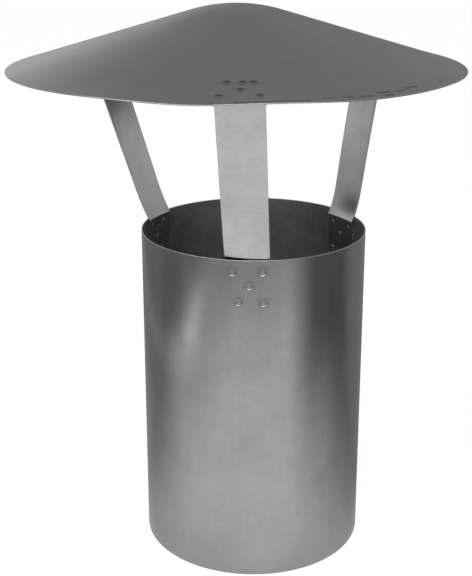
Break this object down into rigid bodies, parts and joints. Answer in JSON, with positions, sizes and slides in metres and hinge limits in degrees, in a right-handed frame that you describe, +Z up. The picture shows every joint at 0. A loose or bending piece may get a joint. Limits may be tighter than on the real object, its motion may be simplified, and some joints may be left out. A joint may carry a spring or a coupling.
{
  "type": "flue rain cap",
  "caption": "Round sheet-metal flue pipe end with a shallow conical rain hood held above it on flat straps.",
  "frame": {"origin": "centre of the pipe's lower end", "axes": "+Z up the pipe towards the hood, -Y towards the front strap, +X to the right of one who faces the front strap"},
  "size_m": [0.286, 0.286, 0.3685],
  "materials": {
    "pipe_sheet": "hot-dip aluminised steel sheet, mill finish, dull grey",
    "hood_sheet": "hot-dip aluminised steel sheet, mill finish, dull grey",
    "strap_strip": "hot-dip aluminised steel strip, sheared edges",
    "weld_metal": "bare pressed metal of a resistance weld"
  },
  "bodies": {
    "root": {"pipe": "pipe_sheet", "pipe_seam_weld": "weld_metal", "hood": "hood_sheet", "strap_front": "strap_strip", "strap_right": "strap_strip", "strap_left": "strap_strip", "pipe_welds_front": "weld_metal", "pipe_welds_right": "weld_metal", "pipe_welds_left": "weld_metal", "hood_welds_front": "weld_metal", "hood_welds_right": "weld_metal", "hood_welds_left": "weld_metal"}
  },
  "joints": []
}
